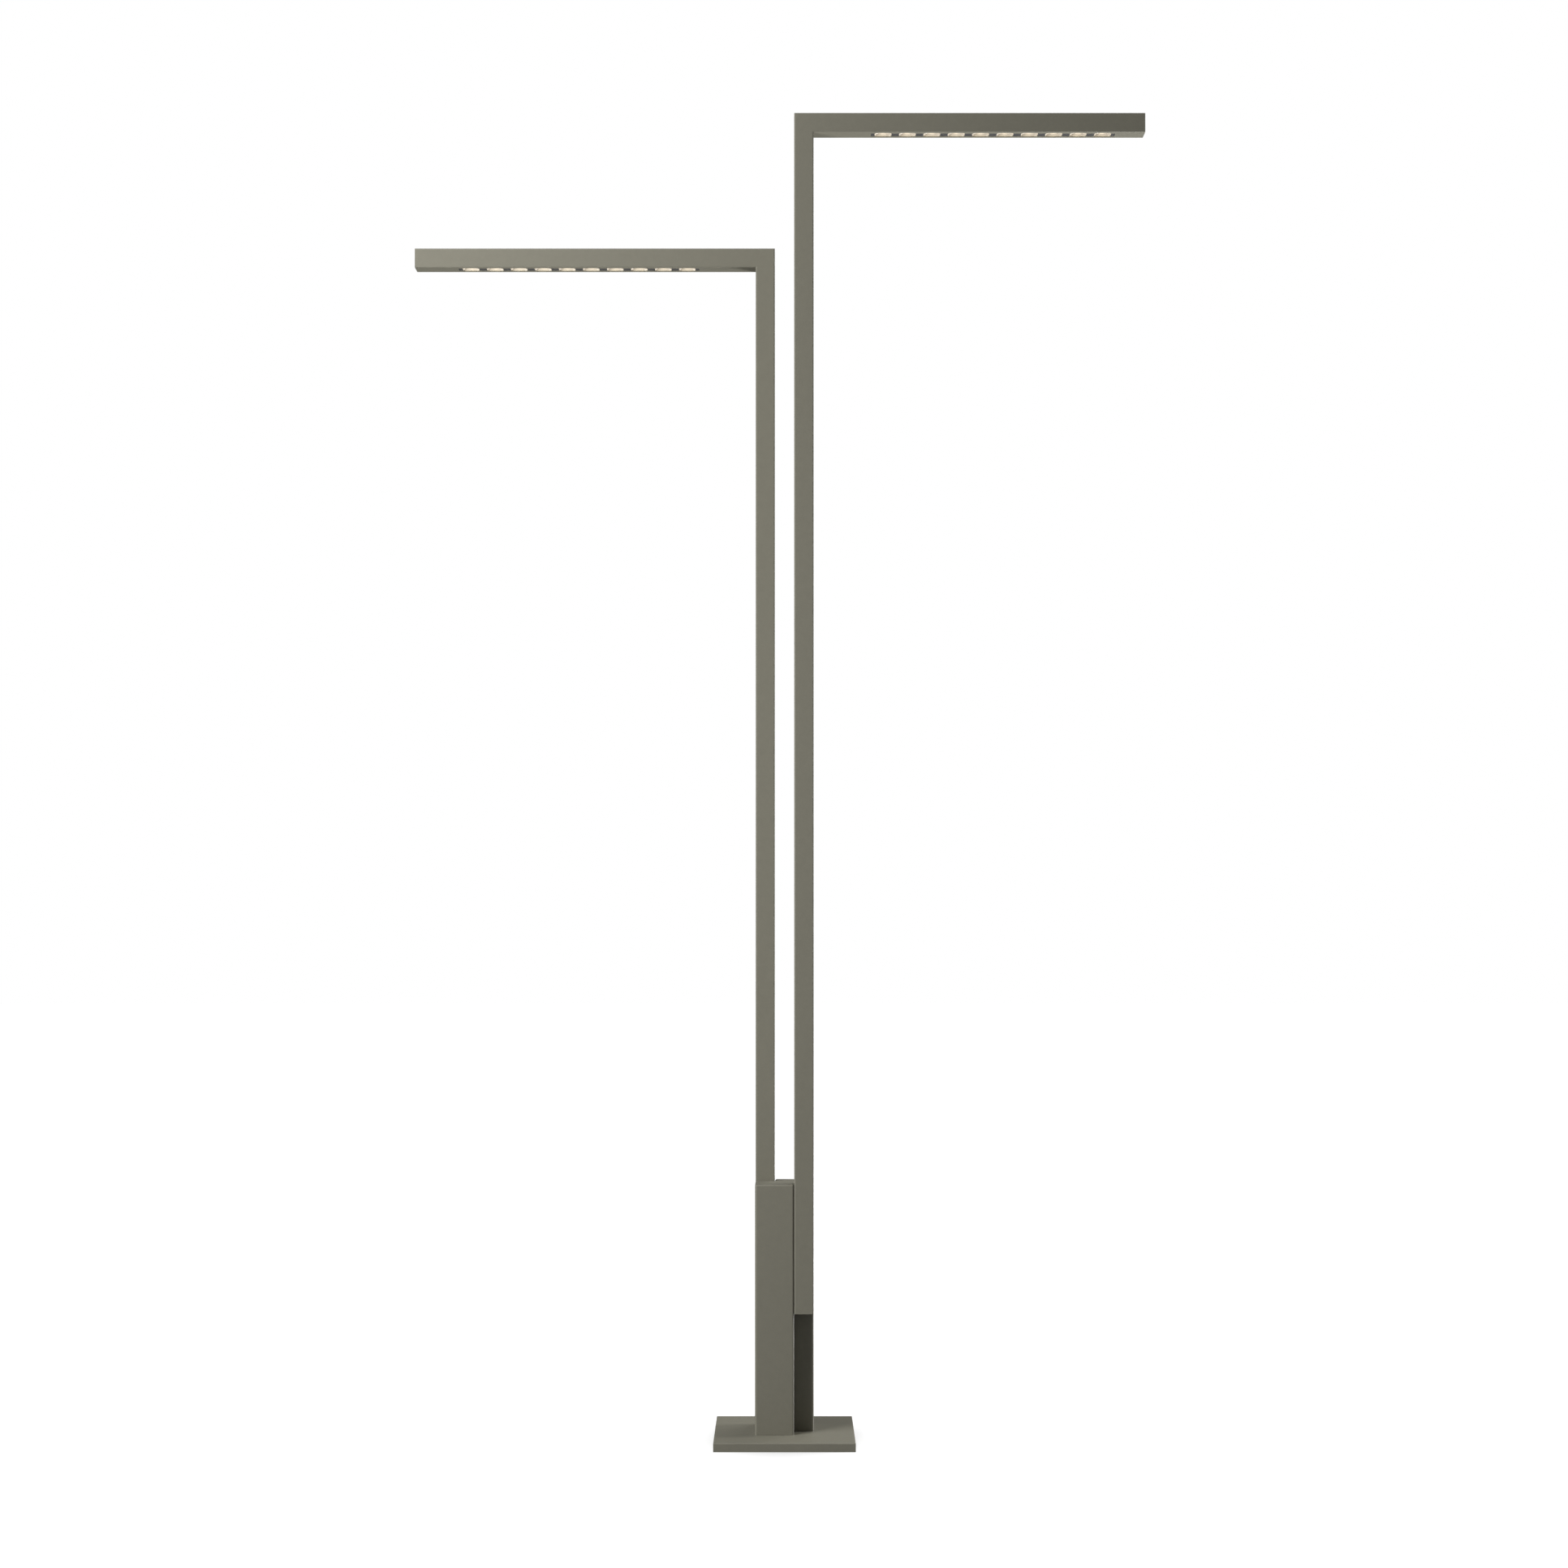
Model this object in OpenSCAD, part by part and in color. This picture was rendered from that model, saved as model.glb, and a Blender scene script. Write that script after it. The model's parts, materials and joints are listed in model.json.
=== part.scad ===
// Twin-mast outdoor light: two L-shaped lamps clamped in opposite corner notches of one square column.
// The origin is the middle of the base on the ground, +Z up. The upper lamp's arm points to +X.

/* [Base] */
// Side of the square base
base_w = 575; // [480:1:800]
// Height of the base cover above the ground
base_h = 35; // [32:0.5:50]
// Sheet thickness of the base cover
cover_t = 3; // [2:0.5:4]
// Bevel along the top edges of the base cover
cover_bevel = 2; // [1:0.5:2]
// Thickness of the steel flange under the cover
flange_t = 12; // [10:1:15]
// Distance between the anchor holes
anchor_spacing = 440; // [340:1:450]
// Radius of each anchor hole
anchor_hole_r = 9; // [7:0.5:14]
// Radius of the supply cable's way through the rubber grommet
inlet_r = 14; // [8:0.5:18]

/* [Column] */
// Height of the column above the base cover
col_rise = 1024; // [850:1:1300]
// Gap between the column's outer face and the mast's
mast_inset = 1; // [0.5:0.5:4]
// Wall thickness of the column
col_wall = 4; // [3:0.5:6]
// Outer radius of the column's corners and top edges
col_r = 8; // [6.5:0.5:12]
// Distance between the walls of the two notches
core_w = 78; // [70:1:110]

/* [Lamps] */
// Side of the square mast and arm
mast_w = 80; // [70:1:90]
// Wall thickness of the mast and arm
mast_wall = 4; // [3:0.5:5]
// Outer edge radius of the mast and arm
mast_r = 5; // [3:0.5:6]
// Height of each lamp from the mast's foot to the arm's top
lamp_h = 4937; // [3000:1:6000]
// Length of the upper lamp's arm over the mast's far face
upper_arm_len = 1445; // [1400:1:2000]
// Length of the lower lamp's arm over the mast's far face
lower_arm_len = 1504; // [1400:1:2000]
// Height of the upper mast's foot above the base cover
upper_lift = 494; // [400:1:520]

/* [Light row] */
// Number of light cells in each arm
cell_count = 10; // [4:1:10]
// Distance between neighbouring cells
cell_pitch = 100.7; // [90:0.1:104]
// Length of a cell along the arm
cell_len = 69; // [50:0.5:75]
// Width of a cell across the arm
cell_wid = 54; // [42:0.5:56]
// Width of the slot that joins the cells
slot_wid = 37; // [25:0.5:40]
// Dark length beyond the first and last cell
row_margin = 16; // [12:1:30]
// Distance from the mast's axis to the start of the row
row_start = 277; // [220:1:300]

/* [Clamps] */
// Height of the lower clamp bolt above the ground
clamp_low_z = 620; // [600:1:660]
// Height of the upper clamp bolt above the ground
clamp_high_z = 980; // [900:1:1000]
// Radius of a clamp bolt's shank
bolt_r = 6; // [5:0.5:8]
// Thickness of the slide pads behind the mast
pad_t = 1; // [0.5:0.5:2]
// Width of the adjusting slot in the mast
adjust_slot_w = 14; // [14:0.5:18]

/* [Service door] */
// Width of the door opening
door_w = 104; // [80:1:110]
// Height of the door opening
door_h = 560; // [480:1:560]
// Height of the door opening's lower edge above the ground
door_z = 435; // [430:1:440]
// Sheet thickness of the door
door_t = 3; // [2:0.5:3]
// Gap all round the door
door_gap = 1; // [0.5:0.5:2]

/* [Hidden] */
$fn = 48;
eps = 1;
fit = 0.3;

coat = [0.43, 0.42, 0.37];
steel = [0.62, 0.63, 0.64];
dark = [0.16, 0.16, 0.17];

// Plan of the column: two overlapping square blocks leave a notch at two opposite corners.
notch_w = mast_w + pad_t + mast_inset;
half_core = core_w / 2;
col_half = half_core + notch_w;
mast_off = col_half - mast_inset - mast_w / 2;
col_top = base_h + col_rise;
block_w = 2 * half_core + notch_w;
block_c = (col_half - half_core) / 2;

// Base: the flange sits inside the cover's skirts.
skirt_gap = 1;
flange_w = base_w - 2 * cover_t - 2 * skirt_gap;
grommet_r = inlet_r + 10;
cover_fit = 0.5;
cover_screw_y = base_w / 3;
cover_screw_z = flange_t / 2;
cover_screw_len = 14;
cover_hole_len = 24;
grommet_lip = 4;

// Lamps
foot_gap = 0.5;
upper_foot_z = base_h + upper_lift;
lower_foot_z = flange_t + foot_gap;
travel = upper_foot_z - lower_foot_z;
bore_w = mast_w - 2 * mast_wall;
plug_w = bore_w - 2 * fit;
arm_z = lamp_h - mast_w / 2;
cap_t = 4;
foot_cap_t = 12;
row_len = (cell_count - 1) * cell_pitch + cell_len + 2 * row_margin;
first_cell = row_start + row_margin + cell_len / 2;
cell_r = 12;

// Optics stand on the arm's lower wall, heights from the arm's axis.
wall_in = -bore_w / 2;
strip_h = 18;
strip_w = cell_wid + 8;
strip_top = wall_in + strip_h;
pocket_h = 13;
window_r = 11;
board_t = 1.6;
led_r = 7;
led_t = 1.2;
lens_t = 2.5;
lens_clear = 0.2;
dome_h = 8;
dome_r = ((window_r - 0.1) * (window_r - 0.1) + dome_h * dome_h) / (2 * dome_h);
tray_t = 6;
tray_z = strip_top + board_t;
fin_h = 14;
fin_t = 2.5;
fin_pitch = 11;
baffle_t = 3;
screw_r = 2;
screw_y = strip_w / 2 - 5;

// Clamps: the bolts pass the column wall and a pad and end in a bar inside the mast.
bolt_clear = 0.5;
bar_w = 40;
bar_t = 8;
bar_over = 30;
head_r = 9.5;
head_h = 7.5;
washer_r = 13;
washer_t = 2.5;
adjust_over = 16;
adjust_low = clamp_low_z - upper_foot_z - adjust_over;
adjust_high = clamp_high_z - lower_foot_z + adjust_over;
bush_z = (clamp_low_z + clamp_high_z) / 2;
bush_r = 8;
pad_w = 30;
pad_h = 60;

// Service door in the back face of the back-right block
door_r = 6;
frame_t = 3;
frame_over = 10;
frame_in = 6;
gasket_t = 1;
door_mid_z = door_z + door_h / 2;
door_left = block_c - door_w / 2;
door_top = door_z + door_h;
hinge_r = 3.5;
hinge_pin_r = 1.5;
hinge_leaf_t = 2;
hinge_leaf_w = 18;
hinge_h = 60;
hinge_x = door_left + door_gap / 2;
hinge_y = col_half + hinge_r;
hinge_zs = [door_z + 60, door_top - 120];
lock_x = door_left + door_w - 17;
lock_r = 7;
plug_r = 4.5;
cam_y = col_half - col_wall - frame_t - 3.4;
cam_t = 3;
cam_len = 20;
cam_w = 10;
lock_deep = 16;

// Gear plate on the right wall of the service compartment
plate_t = 2.5;
gear_hole_y = 10;
gear_hole_z = 12;
standoff_h = 4.5;
plate_x = col_half - col_wall - standoff_h;
plate_y0 = -half_core + 20;
plate_y1 = col_half - 25;
plate_z0 = door_z + 5;
plate_z1 = door_top - 10;
gear_x = plate_x - plate_t;
gear_y = 40;
driver_size = [32, 46, 150];
upper_driver_z = plate_z1 - 20 - driver_size[2];
lower_driver_z = upper_driver_z - 15 - driver_size[2];
surge_size = [30, 40, 50];
surge_z = lower_driver_z - 15 - surge_size[2];
box_size = [38, 80, 100];
box_z = surge_z - 10 - box_size[2];
box_wall = 2.5;

module round_post(w, h, r) {
    // Square post on z=0 with four rounded vertical edges
    for (x = [-1, 1], y = [-1, 1])
        translate([x * (w / 2 - r), y * (w / 2 - r), 0]) cylinder(r = r, h = h);
    translate([-w / 2 + r, -w / 2, 0]) cube([w - 2 * r, w, h]);
    translate([-w / 2, -w / 2 + r, 0]) cube([w, w - 2 * r, h]);
}

module round_slab(l, w, h, r) {
    // Flat slab on z=0 with rounded corners
    for (x = [-1, 1], y = [-1, 1])
        translate([x * (l / 2 - r), y * (w / 2 - r), 0]) cylinder(r = r, h = h);
    translate([-l / 2 + r, -w / 2, 0]) cube([l - 2 * r, w, h]);
    translate([-l / 2, -w / 2 + r, 0]) cube([l, w - 2 * r, h]);
}

module round_block(w, h, r) {
    // Square post whose vertical and top edges are rounded
    round_post(w, h - r, r);
    for (x = [-1, 1], y = [-1, 1])
        translate([x * (w / 2 - r), y * (w / 2 - r), h - r]) sphere(r = r);
    for (s = [-1, 1]) {
        translate([s * (w / 2 - r), 0, h - r]) rotate([90, 0, 0])
            cylinder(r = r, h = w - 2 * r, center = true);
        translate([0, s * (w / 2 - r), h - r]) rotate([0, 90, 0])
            cylinder(r = r, h = w - 2 * r, center = true);
    }
    translate([-w / 2 + r, -w / 2 + r, h - r]) cube([w - 2 * r, w - 2 * r, r]);
}

module back_slab(l, h, t, r) {
    // Upright slab in the XZ plane, its inner face on y=0 and its thickness towards +Y
    translate([0, t, 0]) rotate([90, 0, 0]) round_slab(l, h, t, r);
}

module screw(r, len, head) {
    // Countersunk screw, its flat head on z=0, pointing down
    rotate_extrude() polygon([[0, 0], [head, 0], [r, -(head - r)], [r, -len], [0, -len]]);
}

module hex_bolt(r, len) {
    // Bolt pointing to -Z with a washer on z=0 and a hexagon head above it
    translate([0, 0, -len]) cylinder(r = r, h = len + washer_t);
    difference() {
        cylinder(r = washer_r, h = washer_t);
        translate([0, 0, -eps]) cylinder(r = r - 0.5, h = washer_t + 2 * eps);
    }
    translate([0, 0, washer_t]) cylinder(r = head_r, h = head_h, $fn = 6);
}

function spline(a, b, c, d, t) =
    0.5 * ((2 * b) + (c - a) * t + (2 * a - 5 * b + 4 * c - d) * t * t + (3 * b - a - 3 * c + d) * t * t * t);

function smooth_path(p, steps) = [
    for (i = [0 : len(p) - 2], s = [0 : steps - 1])
        spline(p[max(i - 1, 0)], p[i], p[i + 1], p[min(i + 2, len(p) - 1)], s / steps),
    p[len(p) - 1]
];

module wire(points, d, steps = 5) {
    // Round cable along a smooth curve through the points
    path = smooth_path(points, steps);
    for (i = [0 : len(path) - 2]) hull() {
        translate(path[i]) sphere(d = d, $fn = 8);
        translate(path[i + 1]) sphere(d = d, $fn = 8);
    }
}

// ---- Base ----

module base_flange() color(steel) difference() {
    translate([-flange_w / 2, -flange_w / 2, 0]) cube([flange_w, flange_w, flange_t]);
    for (x = [-1, 1], y = [-1, 1])
        translate([x * anchor_spacing / 2, y * anchor_spacing / 2, -eps])
            cylinder(r = anchor_hole_r, h = flange_t + 2 * eps);
    translate([0, 0, -eps]) cylinder(r = grommet_r, h = flange_t + 2 * eps);
    for (x = [-1, 1], y = [-1, 1])
        translate([x * flange_w / 2, y * cover_screw_y, cover_screw_z]) rotate([0, 90, 0])
            cylinder(r = screw_r, h = cover_hole_len, center = true);
}

module edge_bevel(w, b) {
    // Prism that cuts a bevel b along one top edge of a square slab w wide
    translate([0, w / 2, 0]) rotate([90, 0, 90])
        linear_extrude(height = w + 4 * eps, center = true)
            polygon([[-b, 0], [eps, 0], [eps, -b - eps], [0, -b]]);
}

module base_cover() color(coat) difference() {
    translate([-base_w / 2, -base_w / 2, 0]) cube([base_w, base_w, base_h]);
    for (a = [0 : 90 : 270])
        translate([0, 0, base_h]) rotate([0, 0, a]) edge_bevel(base_w, cover_bevel);
    translate([-base_w / 2 + cover_t, -base_w / 2 + cover_t, -eps])
        cube([base_w - 2 * cover_t, base_w - 2 * cover_t, base_h - cover_t + eps]);
    for (s = [-1, 1]) translate([s * block_c, s * block_c, 0])
        round_post(block_w + 2 * cover_fit, base_h + eps, col_r);
    translate([-mast_off - mast_w / 2 - cover_fit, mast_off - mast_w / 2 - cover_fit, 0])
        cube([mast_w + 2 * cover_fit, mast_w + 2 * cover_fit, base_h + eps]);
    for (x = [-1, 1], y = [-1, 1])
        translate([x * base_w / 2, y * cover_screw_y, cover_screw_z]) rotate([0, x * 90, 0])
            screw(screw_r + 0.1, cover_hole_len, 2 * screw_r + 0.1);
}

module cover_screws() color(steel)
    for (x = [-1, 1], y = [-1, 1])
        translate([x * base_w / 2, y * cover_screw_y, cover_screw_z]) rotate([0, x * 90, 0])
            screw(screw_r - 0.05, cover_screw_len, 2 * screw_r);

module cable_grommet() color(dark) difference() {
    union() {
        cylinder(r = grommet_r - 0.1, h = flange_t + 0.2);
        translate([0, 0, flange_t]) cylinder(r = grommet_r + grommet_lip, h = grommet_lip);
    }
    translate([0, 0, -eps]) cylinder(r = inlet_r, h = flange_t + grommet_lip + 2 * eps);
}

module earth_stud() color("goldenrod") {
    // Threaded stud on the flange with a washer and a hexagon nut
    translate([-block_c, -block_c, flange_t]) {
        cylinder(r = 4, h = 30);
        translate([0, 0, 10]) cylinder(r = 8.5, h = 1.6);
        translate([0, 0, 11.6]) cylinder(r = 7.5, h = 6.5, $fn = 6);
    }
}

module column_shell() color(coat) difference() {
    for (s = [-1, 1]) translate([s * block_c, s * block_c, flange_t])
        round_block(block_w, col_top - flange_t, col_r);
    for (s = [-1, 1]) translate([s * block_c, s * block_c, flange_t - eps])
        translate([-block_w / 2 + col_wall, -block_w / 2 + col_wall, 0])
            cube([block_w - 2 * col_wall, block_w - 2 * col_wall, col_top - flange_t - col_wall + eps]);
    translate([block_c, col_half - col_wall - eps, door_mid_z])
        back_slab(door_w, door_h, col_wall + 2 * eps, door_r);
    upper_clamp_places() translate([0, 0, -eps]) rotate([180, 0, 0])
        cylinder(r = bolt_r + bolt_clear, h = 2 * col_wall + 2 * eps, center = true);
    lower_clamp_places() rotate([180, 0, 0])
        cylinder(r = bolt_r + bolt_clear, h = 2 * col_wall + 2 * eps, center = true);
    bush_places() cylinder(r = bush_r, h = 4 * col_wall, center = true);
}

// Clamp bolts point to -Z in their own frames, which start on the compartment side of the notch wall.
module upper_clamp_places()
    for (z = [clamp_low_z, clamp_high_z])
        translate([mast_off, -half_core + col_wall, z]) rotate([-90, 0, 0]) children();

module lower_clamp_places()
    for (z = [clamp_low_z, clamp_high_z])
        translate([-half_core + col_wall, mast_off, z]) rotate([0, 90, 0]) children();

module bush_places() {
    translate([mast_off, -half_core + col_wall, bush_z]) rotate([-90, 0, 0]) children();
    translate([-half_core + col_wall, mast_off, bush_z]) rotate([0, 90, 0]) children();
}

bolt_reach = col_wall + pad_t + mast_wall + bar_t;

module clamp_bolts() color(steel) {
    upper_clamp_places() hex_bolt(bolt_r, bolt_reach);
    lower_clamp_places() hex_bolt(bolt_r, bolt_reach);
}

module clamp_bar() {
    // Bar inside the mast with two bolt holes, in the frame of the lower bolt
    span = clamp_high_z - clamp_low_z;
    difference() {
        translate([-bar_w / 2, 0, -bar_over]) cube([bar_w, bar_t, span + 2 * bar_over]);
        for (z = [0, span]) translate([0, bar_t / 2, z]) rotate([90, 0, 0])
            cylinder(r = bolt_r + 0.05, h = bar_t + 2 * eps, center = true);
    }
}

module clamp_bars() color(steel) {
    seat = mast_off - mast_w / 2 + mast_wall;
    gap = 0.1;
    translate([mast_off, -seat - gap, clamp_low_z]) mirror([0, 1, 0]) clamp_bar();
    translate([-seat - gap, mast_off, clamp_low_z]) rotate([0, 0, 90]) clamp_bar();
}

module slide_pad() difference() {
    // Pad on a notch wall round one clamp bolt, in the XZ plane
    back_slab(pad_w, pad_h, pad_t - 0.1, 3);
    rotate([90, 0, 0]) cylinder(r = bolt_r + bolt_clear, h = 4 * pad_t, center = true);
}

module slide_pads() color(dark)
    for (z = [clamp_low_z, clamp_high_z]) {
        translate([mast_off, -half_core, z]) mirror([0, 1, 0]) slide_pad();
        translate([-half_core, mast_off, z]) rotate([0, 0, 90]) slide_pad();
    }

module wall_bush() difference() {
    // Rubber bush in a notch wall, its flange on the compartment side
    union() {
        translate([0, 0, -col_wall]) cylinder(r = bush_r - 0.1, h = col_wall);
        cylinder(r = bush_r + 3, h = 3);
    }
    cylinder(r = 4.1, h = 40, center = true);
}

module wall_bushes() color(dark) bush_places() wall_bush();

// ---- Service door ----

module door_frame() color(steel) difference() {
    translate([block_c, col_half - col_wall - frame_t, door_mid_z])
        back_slab(door_w + 2 * frame_over, door_h + 2 * frame_over, frame_t, door_r);
    translate([block_c, col_half - col_wall - frame_t - eps, door_mid_z])
        back_slab(door_w - 2 * frame_in, door_h - 2 * frame_in, frame_t + 2 * eps, door_r - 1);
}

module door_gasket() color(dark) difference() {
    translate([block_c, col_half - col_wall, door_mid_z])
        back_slab(door_w - 2 * fit, door_h - 2 * fit, col_wall - door_t - 0.1, door_r);
    translate([block_c, col_half - col_wall - eps, door_mid_z])
        back_slab(door_w - 2 * frame_in + 1, door_h - 2 * frame_in + 1, col_wall, door_r - 1);
}

module service_door() color(coat) difference() {
    translate([block_c, col_half - door_t, door_mid_z])
        back_slab(door_w - 2 * door_gap, door_h - 2 * door_gap, door_t, door_r - 1);
    translate([lock_x, col_half, door_mid_z]) rotate([90, 0, 0])
        cylinder(r = lock_r + 0.1, h = 4 * door_t, center = true);
}

module hinge_set(side, turns, clear) {
    // Leaf and knuckle rings of one hinge half; turns are the knuckle's z range as shares of the height
    for (z = hinge_zs) translate([hinge_x, hinge_y, z]) {
        difference() {
            union() {
                translate([side > 0 ? 0 : -hinge_leaf_w, -hinge_r, turns[0] * hinge_h + clear])
                    cube([hinge_leaf_w, hinge_leaf_t, (turns[1] - turns[0]) * hinge_h - 2 * clear]);
                translate([0, 0, turns[0] * hinge_h + clear])
                    cylinder(r = hinge_r, h = (turns[1] - turns[0]) * hinge_h - 2 * clear);
            }
            translate([0, 0, -eps]) cylinder(r = hinge_pin_r + 0.05, h = hinge_h + 2 * eps);
        }
    }
}

module fixed_hinge_leaves() color(steel) {
    hinge_set(-1, [0, 0.3], 0);
    hinge_set(-1, [0.7, 1], 0);
}

module door_hinge_leaves() color(steel) hinge_set(1, [0.3, 0.7], 0.3);

module hinge_pins() color(steel)
    for (z = hinge_zs) translate([hinge_x, hinge_y, z - 1]) {
        cylinder(r = hinge_pin_r, h = hinge_h + 2);
        translate([0, 0, -1]) cylinder(r = hinge_r - 0.7, h = 2 - fit / 3);
    }

module lock_frame() translate([lock_x, col_half, door_mid_z]) rotate([90, 0, 0]) children();

module lock_housing() color(steel) lock_frame() difference() {
    // Barrel through the door with a collar outside and a nut inside
    union() {
        translate([0, 0, -1.5]) cylinder(r = lock_r + 3, h = 1.5);
        cylinder(r = lock_r, h = lock_deep - cam_t - 1);
        translate([0, 0, door_t + 0.1]) cylinder(r = lock_r, h = 0.4);
    }
    translate([0, 0, -5]) cylinder(r = plug_r + 0.05, h = lock_deep + 10);
}

module lock_plug() color(steel) lock_frame() difference() {
    // Turning plug with a triangular key recess
    translate([0, 0, -1]) cylinder(r = plug_r, h = lock_deep + 1);
    translate([0, 0, -1 - eps]) cylinder(r = 3, h = 5 + eps, $fn = 3);
}

module lock_cam() color(steel) lock_frame() difference() {
    // Flat cam on the plug's inner end, pointing up when open
    translate([0, 0, lock_deep - cam_t]) union() {
        translate([-cam_w / 2, 0, 0]) cube([cam_w, cam_len - cam_w / 2, cam_t]);
        cylinder(r = lock_r - 0.5, h = cam_t);
        translate([0, cam_len - cam_w / 2, 0]) cylinder(r = cam_w / 2, h = cam_t);
    }
    cylinder(r = plug_r + 0.02, h = lock_deep + 1);
}

// ---- Gear in the service compartment ----

module gear_holes() {
    // Fixing places of the gear plate, in its own plane
    for (y = [plate_y0 + gear_hole_y, plate_y1 - gear_hole_y])
        for (z = [plate_z0 + gear_hole_z, plate_z1 - gear_hole_z])
            translate([plate_x, y, z]) rotate([0, 90, 0]) children();
}

module gear_plate() color(steel) difference() {
    translate([gear_x, plate_y0, plate_z0]) cube([plate_t, plate_y1 - plate_y0, plate_z1 - plate_z0]);
    gear_holes() cylinder(r = 2.2, h = 4 * plate_t, center = true);
}

module plate_standoffs() color(steel) gear_holes() {
    // Spacer welded to the column wall, with its screw
    cylinder(r = 5, h = standoff_h);
    translate([0, 0, -plate_t - 0.1]) cylinder(r = 2, h = plate_t + 1);
    translate([0, 0, -plate_t - 2.6]) cylinder(r = 4, h = 2.6);
}

module driver(z) {
    // Potted driver with a narrower lid step and two mounting feet
    translate([gear_x, gear_y, z]) {
        difference() {
            translate([-driver_size[0], -driver_size[1] / 2, 8])
                cube([driver_size[0], driver_size[1], driver_size[2] - 16]);
            translate([-driver_size[0] - eps, -driver_size[1] / 2 - eps, 7])
                cube([3 + eps, 4 + eps, driver_size[2]]);
            translate([-driver_size[0] - eps, driver_size[1] / 2 - 4, 7])
                cube([3 + eps, 4 + eps, driver_size[2]]);
        }
        for (end = [4, driver_size[2] - 4]) translate([0, 0, end]) difference() {
            translate([-2.5, -driver_size[1] / 2, end > 4 ? -5 : -4]) cube([2.5, driver_size[1], 9]);
            translate([-5, 0, 0]) rotate([0, 90, 0]) cylinder(r = 2.2, h = 10);
        }
    }
}

module upper_driver() color("whitesmoke") driver(upper_driver_z);

module lower_driver() color("whitesmoke") driver(lower_driver_z);

module driver_screws() color(steel)
    for (z = [upper_driver_z, lower_driver_z], end = [4, driver_size[2] - 4])
        translate([gear_x - 2.5, gear_y, z + end]) rotate([0, -90, 0]) {
            cylinder(r = 3.6, h = 2.4);
            translate([0, 0, -2.5]) cylinder(r = 2, h = 3);
        }

module surge_protector() color("gainsboro")
    translate([gear_x - surge_size[0], gear_y - surge_size[1] / 2, surge_z]) difference() {
        cube(surge_size);
        for (y = [10, 30]) translate([-eps, y, 8]) rotate([0, 90, 0]) cylinder(r = 2.5, h = 6);
    }

module terminal_box() color([0.75, 0.75, 0.75])
    translate([gear_x - box_size[0], gear_y - box_size[1] / 2, box_z]) difference() {
        cube(box_size);
        translate([-eps, box_wall, box_wall])
            cube([box_size[0] - box_wall + eps, box_size[1] - 2 * box_wall, box_size[2] - 2 * box_wall]);
        for (y = [20, 60]) translate([box_size[0] / 2, y, -eps]) cylinder(r = 8, h = box_wall + 2 * eps);
    }

module terminal_box_lid() color([0.7, 0.7, 0.7])
    translate([gear_x - box_size[0] - box_wall, gear_y, box_z + box_size[2] / 2]) {
        rotate([0, 90, 0]) round_slab(box_size[2], box_size[1], box_wall, 4);
        for (y = [-1, 1], z = [-1, 1])
            translate([0, y * (box_size[1] / 2 - 8), z * (box_size[2] / 2 - 8)]) rotate([0, -90, 0])
                cylinder(r = 3, h = 1.2);
    }

module terminal_block() color("ivory")
    translate([gear_x - box_wall - 20, gear_y - 30, box_z + 15]) difference() {
        cube([20, 60, 22]);
        for (i = [0 : 5]) translate([-eps, 5 + 10 * i, 11]) rotate([0, 90, 0]) cylinder(r = 2.6, h = 8);
    }

module fuse_holders() color(dark)
    for (y = [-22, 4]) translate([gear_x - box_wall - 26, gear_y + y, box_z + 48]) {
        cube([26, 18, 40]);
        translate([-4, 4, 8]) cube([4, 10, 24]);
    }

module cable_glands() color(dark)
    for (y = [20, 60]) translate([gear_x - box_size[0] / 2, gear_y - box_size[1] / 2 + y, box_z]) difference() {
        union() {
            translate([0, 0, -6]) cylinder(r = 11, h = 6, $fn = 6);
            translate([0, 0, -18]) cylinder(r1 = 7, r2 = 9.5, h = 12);
            translate([0, 0, -eps]) cylinder(r = 7.8, h = eps + box_wall);
        }
        translate([0, 0, -20]) cylinder(r = 5, h = 40);
    }

// Each lead runs from its driver's lower end to the bush behind its mast.
lead_d = 8;
lead_x = gear_x - driver_size[0] / 2;
lead_y = gear_y + 8;
lead_end = lead_d / 2 + 0.2;
upper_lead = [
    [lead_x, lead_y, upper_driver_z + 8 - lead_end],
    [lead_x - 2, lead_y - 8, upper_driver_z - 9],
    [lead_x - 12, 14, bush_z + 5],
    [mast_off, -half_core + col_wall + 36, bush_z + 1],
    [mast_off, -half_core + col_wall + 22, bush_z],
    [mast_off, -half_core + col_wall + 8, bush_z],
    [mast_off, -half_core + lead_end, bush_z]
];
lower_lead = [
    [lead_x, lead_y, lower_driver_z + 8 - lead_end],
    [lead_x - 2, lead_y + 6, lower_driver_z - 5],
    [lead_x - 32, gear_y + 28, lower_driver_z - 8],
    [20, 74, lower_driver_z + 60],
    [2, mast_off, bush_z - 24],
    [-half_core + col_wall + 22, mast_off, bush_z - 2],
    [-half_core + col_wall + 8, mast_off, bush_z],
    [-half_core + lead_end, mast_off, bush_z]
];

module driver_leads() color([0.12, 0.12, 0.12]) {
    wire(upper_lead, lead_d);
    wire(lower_lead, lead_d);
}

// ---- One lamp, its mast's axis on the origin, its foot on z=0 and its arm towards +X ----

module mitre_cut(keep) {
    // Removes the far side of the 45 degree mitre at the arm's corner; keep is 1 for the mast, -1 for the arm
    translate([-mast_w / 2, 0, lamp_h]) rotate([0, 45, 0])
        translate([-mast_w, -mast_w, keep > 0 ? 0 : -3 * mast_w]) cube([4 * mast_w, 2 * mast_w, 3 * mast_w]);
}

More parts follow.
